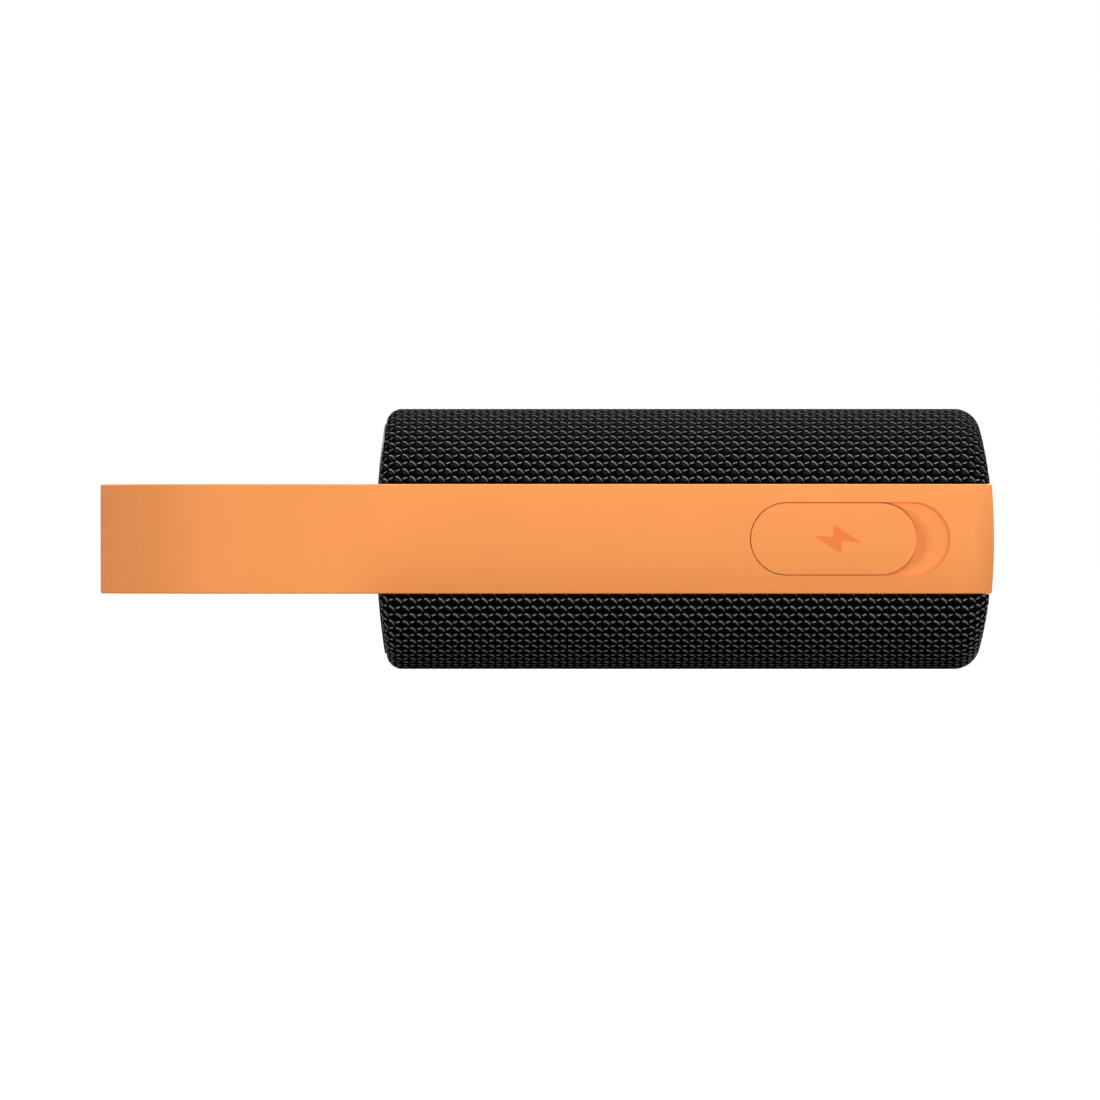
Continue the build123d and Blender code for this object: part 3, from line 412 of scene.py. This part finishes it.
def end_fillet(radius, crown, angle, height):
    """The rounded edge between a side wall and a domed end: its middle, and how far round it turns.

    radius is the rounded edge's and crown is the dome's. angle is the wall's direction in the cross-section
    and height is the wall's height over the body's middle plane. The first result is how far the rounded
    edge's middle lies behind the dome's top.
    """
    ball_z = height - radius * np.sin(angle)
    ball_x = crown - np.sqrt((crown - radius) ** 2 - ball_z**2)
    turn = pi / 2 - np.arcsin(np.clip(ball_z * np.sin(angle) / (crown - radius), -1, 1))
    return ball_x, turn


def end_depth(radius, crown, angle, height, inward):
    """How far the end lies behind its dome's top, at a distance inward from the side wall."""
    ball_x, turn = end_fillet(radius, crown, angle, height)
    fillet_reach = radius * (1 - np.cos(turn))
    on_fillet = np.minimum(inward, fillet_reach)
    fillet_x = ball_x - np.sqrt(np.maximum(radius**2 - (radius - on_fillet) ** 2, 0))
    z = height - inward * np.sin(angle)
    face_x = crown - np.sqrt(crown**2 - z**2)
    return np.where(inward <= fillet_reach, fillet_x, face_x)


def cross_section():
    """The wall from the cover's edge to the middle of the flat face.

    Gives the distance along it, the total distance, and the wall's direction, Y and height over the middle.
    """
    start_angle = np.arcsin(COVER_EDGE_HALF / SIDE_RADIUS)
    arc_length = SIDE_RADIUS * (pi / 2 - start_angle)
    total = arc_length + SIDE_CENTRE
    rows = int(round(total / ROW * SAMPLES_ROW))
    around = np.linspace(0, total, rows + 1)
    on_arc = around < arc_length
    angle = np.where(on_arc, start_angle + around / SIDE_RADIUS, pi / 2)
    centre_y = np.where(on_arc, SIDE_CENTRE, total - around)
    wall_y = centre_y + SIDE_RADIUS * np.cos(angle)
    wall_z = SIDE_RADIUS * np.sin(angle)
    return around, total, angle, wall_y, wall_z


def cover_points(front, half_sign):
    """Grid of the cover's points before the knit, in millimetres, with a knit position for each.

    Also gives which points lie past the cover's edge on the bottom end, and the cover's length and width.
    """
    around, total, angle, wall_y, wall_z = cross_section()
    end_reach = pi / 2 * BOTTOM_EDGE + SIDE_RADIUS - COVER_EDGE_HALF - BOTTOM_EDGE
    length = BOTTOM_X - TOP_X + end_reach + TOP_EDGE
    columns = int(round(length / STITCH * SAMPLES_LONG))
    travel = np.linspace(0, length, columns + 1)[None, :]

    angle = angle[:, None]
    wall_z = wall_z[:, None]
    top_ball, _ = end_fillet(TOP_EDGE, TOP_CROWN, angle, wall_z)
    bottom_ball, bottom_turn = end_fillet(BOTTOM_EDGE, BOTTOM_CROWN, angle, wall_z)
    top_arc = TOP_EDGE * np.arccos(1 - PANEL_INSET / TOP_EDGE)
    top_x = TOP_X + top_ball
    straight = BOTTOM_X - bottom_ball - top_x
    on_top = travel < top_arc
    top_turn = (top_arc - travel) / TOP_EDGE
    past = travel - top_arc - straight
    turn = np.clip(past / BOTTOM_EDGE, 0, bottom_turn)
    past_fillet = np.maximum(past - BOTTOM_EDGE * bottom_turn, 0)
    inward = np.where(
        on_top, TOP_EDGE * (1 - np.cos(top_turn)), BOTTOM_EDGE * (1 - np.cos(turn)) + past_fillet
    )
    limit = (wall_z - COVER_EDGE_HALF) / np.sin(angle)
    over = (~on_top) & (inward > limit)
    inward = np.where(over, limit, inward)

    x = np.where(on_top, top_x - TOP_EDGE * np.sin(top_turn), top_x + travel - top_arc)
    bottom_x = BOTTOM_X - end_depth(BOTTOM_EDGE, BOTTOM_CROWN, angle, wall_z, inward)
    x = np.where((~on_top) & (past > 0), bottom_x, x)
    y = wall_y[:, None] - inward * np.cos(angle)
    z = wall_z - inward * np.sin(angle)
    points = np.stack([x, half_sign * y, MID_Z + z * (1 if front else -1)], axis=-1)

    knit_along = top_x + travel - top_arc - KNIT_START_X
    from_port_side = around if half_sign < 0 else 2 * total - around
    knit_upward = (from_port_side - FIRST_ROW[front])[:, None] * (1 if front else -1)
    return points, knit_along, np.broadcast_to(knit_upward, x.shape), over, (length, total)


def grid_normals(points):
    """Unit normals of a grid of points."""
    along = np.gradient(points, axis=1)
    around = np.gradient(points, axis=0)
    normal = np.cross(along, around)
    size = np.linalg.norm(normal, axis=-1, keepdims=True)
    return normal / np.maximum(size, 1e-9)


def press_knit(points, along, upward, over, width):
    """Presses the stitches into the cover's points and turns its edges in.

    Also gives which points lie past the cover's edge, where no face is made.
    """
    normals = grid_normals(points)
    outward = np.sign(np.sum(normals * (points - np.array(INSIDE_POINT)), axis=-1, keepdims=True))
    normals *= np.where(np.median(outward) < 0, -1.0, 1.0)
    depth = KNIT_DEPTH * (1 - knit_height(along, upward))
    from_edge = np.linspace(0, width, len(points))[:, None]
    depth += EDGE_ROLL_DEPTH * (1 - np.sqrt(1 - np.clip(1 - from_edge / EDGE_ROLL, 0, 1) ** 2))
    depth = np.where(over, TUCK_DEPTH, depth)
    first_over = over & ~np.roll(over, 1, axis=1)
    beyond = over & ~first_over
    knitted = points - normals * depth[..., None]
    knitted[..., 0] -= np.where(beyond, SKIRT, 0.0)
    knitted = np.concatenate([knitted[:1] - normals[:1] * SKIRT, knitted], axis=0)
    rim = knitted[:, :1] + np.array([SKIRT, 0.0, 0.0])
    knitted = np.concatenate([rim, knitted], axis=1)
    hidden = np.zeros(knitted.shape[:2], bool)
    hidden[1:, 1:] = beyond
    hidden[0] = hidden[1]
    return knitted, hidden


def grid_faces(hidden, flip):
    """Four-cornered faces of a grid, without those whose corners are all hidden."""
    rows, columns = hidden.shape
    index = np.arange(rows * columns).reshape(rows, columns)
    corners = [index[:-1, :-1], index[:-1, 1:], index[1:, 1:], index[1:, :-1]]
    quads = np.stack(corners, axis=-1).reshape(-1, 4)
    keep = ~hidden.reshape(-1)[quads].all(axis=1)
    if flip:
        quads = quads[:, ::-1]
    return quads[keep]


def knit_mesh(name, knitted, faces, knit_position):
    """Smooth mesh whose UV map holds the knit position of each point, in millimetres."""
    mesh = bpy.data.meshes.new(name)
    mesh.from_pydata((knitted.reshape(-1, 3) * MM).tolist(), [], faces.tolist())
    layer = mesh.uv_layers.new(name="knit")
    padded = np.pad(knit_position, ((1, 0), (1, 0), (0, 0)), mode="edge").reshape(-1, 2)
    loops = np.empty(len(mesh.loops), dtype=np.int32)
    mesh.loops.foreach_get("vertex_index", loops)
    layer.data.foreach_set("uv", padded[loops].astype(np.float32).reshape(-1))
    mesh.polygons.foreach_set("use_smooth", [True] * len(mesh.polygons))
    return mesh


def knit_cover(name, front, half_sign, material):
    """Half of one knitted cover, from the band's edge to the middle of the flat face."""
    points, along, upward, over, (length, width) = cover_points(front, half_sign)
    knitted, hidden = press_knit(points, along, upward, over, width)
    faces = grid_faces(hidden, flip=front == (half_sign < 0))
    mesh = knit_mesh(name, knitted, faces, np.stack([along, upward], axis=-1))
    mesh.materials.append(material)
    piece = bpy.data.objects.new(name, mesh)
    bpy.context.scene.collection.objects.link(piece)
    side = "front" if front else "rear"
    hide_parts(f"{side}_fabric")
    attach(piece, "housing")


def knit_covers():
    """The front and rear covers, each in two halves."""
    yarn = knit_yarn("knit_yarn")
    for front in (True, False):
        for half_sign in (-1, 1):
            side = "front" if front else "rear"
            half = "port_side" if half_sign < 0 else "far_side"
            knit_cover(f"{side}_knit_{half}", front, half_sign, yarn)


# ---- Stage, light and camera ----
def plain_mesh(name, corners, material):
    """One four-cornered face."""
    mesh = bpy.data.meshes.new(name)
    mesh.from_pydata(corners, [], [(0, 1, 2, 3)])
    mesh.materials.append(material)
    plane = bpy.data.objects.new(name, mesh)
    bpy.context.scene.collection.objects.link(plane)
    return plane


def seen_by_camera(tree, otherwise, seen):
    """Strength that is one number as light on the object and another in the picture's background."""
    path = tree.nodes.new("ShaderNodeLightPath")
    return spread(tree, path.outputs["Is Camera Ray"], otherwise, seen)


def floor():
    """Pale paper that shows as white in the picture."""
    material, tree, shader = new_material("floor_paper")
    grain = noise(tree, object_coordinates(tree), scale=400.0)
    tree.links.new(ramp(tree, grain, PAPER_DARK, PAPER_LIGHT), shader.inputs["Base Color"])
    shader.inputs["Roughness"].default_value = 0.9
    shader.inputs["Specular IOR Level"].default_value = 0.1
    shader.inputs["Emission Color"].default_value = (1, 1, 1, 1)
    tree.links.new(seen_by_camera(tree, 0.0, FLOOR_GLOW), shader.inputs["Emission Strength"])
    corners = [(FLOOR_REACH * x, FLOOR_REACH * y, 0) for x, y in ((-1, -1), (1, -1), (1, 1), (-1, 1))]
    plain_mesh("floor", corners, material)


def world():
    """Pure white behind the object, and a dimmer even light on it."""
    surround = bpy.data.worlds.new("studio")
    bpy.context.scene.world = surround
    surround.use_nodes = True
    tree = surround.node_tree
    background = tree.nodes["Background"]
    background.inputs["Color"].default_value = (1, 1, 1, 1)
    tree.links.new(seen_by_camera(tree, FILL_LIGHT, 1.0), background.inputs["Strength"])


def softbox(name, place, width, height, power):
    """Rectangular lamp that faces the object."""
    light = bpy.data.lights.new(name, "AREA")
    light.shape = "RECTANGLE"
    light.size = width
    light.size_y = height
    light.energy = power
    lamp = bpy.data.objects.new(name, light)
    lamp.location = place
    lamp.rotation_euler = (Vector(LAMP_TARGET) - Vector(place)).to_track_quat("-Z", "Y").to_euler()
    bpy.context.scene.collection.objects.link(lamp)


def lights():
    for name, (place, width, height, power) in LAMPS.items():
        softbox(name, place, width, height, power)


def camera():
    """Looks straight along +Y at the side with the charging port."""
    data = bpy.data.cameras.new("camera")
    data.sensor_width = SENSOR
    data.lens = SENSOR * CAMERA_DISTANCE / PICTURE_WIDTH
    data.clip_end = 100.0
    eye = bpy.data.objects.new("camera", data)
    eye.location = (PICTURE_CENTRE[0], -CAMERA_DISTANCE, PICTURE_CENTRE[1])
    eye.rotation_euler = (pi / 2, 0, 0)
    bpy.context.scene.collection.objects.link(eye)
    bpy.context.scene.camera = eye


# ---- Build ----
camera()
dress_nodes(make_finishes())
knit_covers()
floor()
world()
lights()
bpy.context.scene.view_settings.view_transform = "Standard"
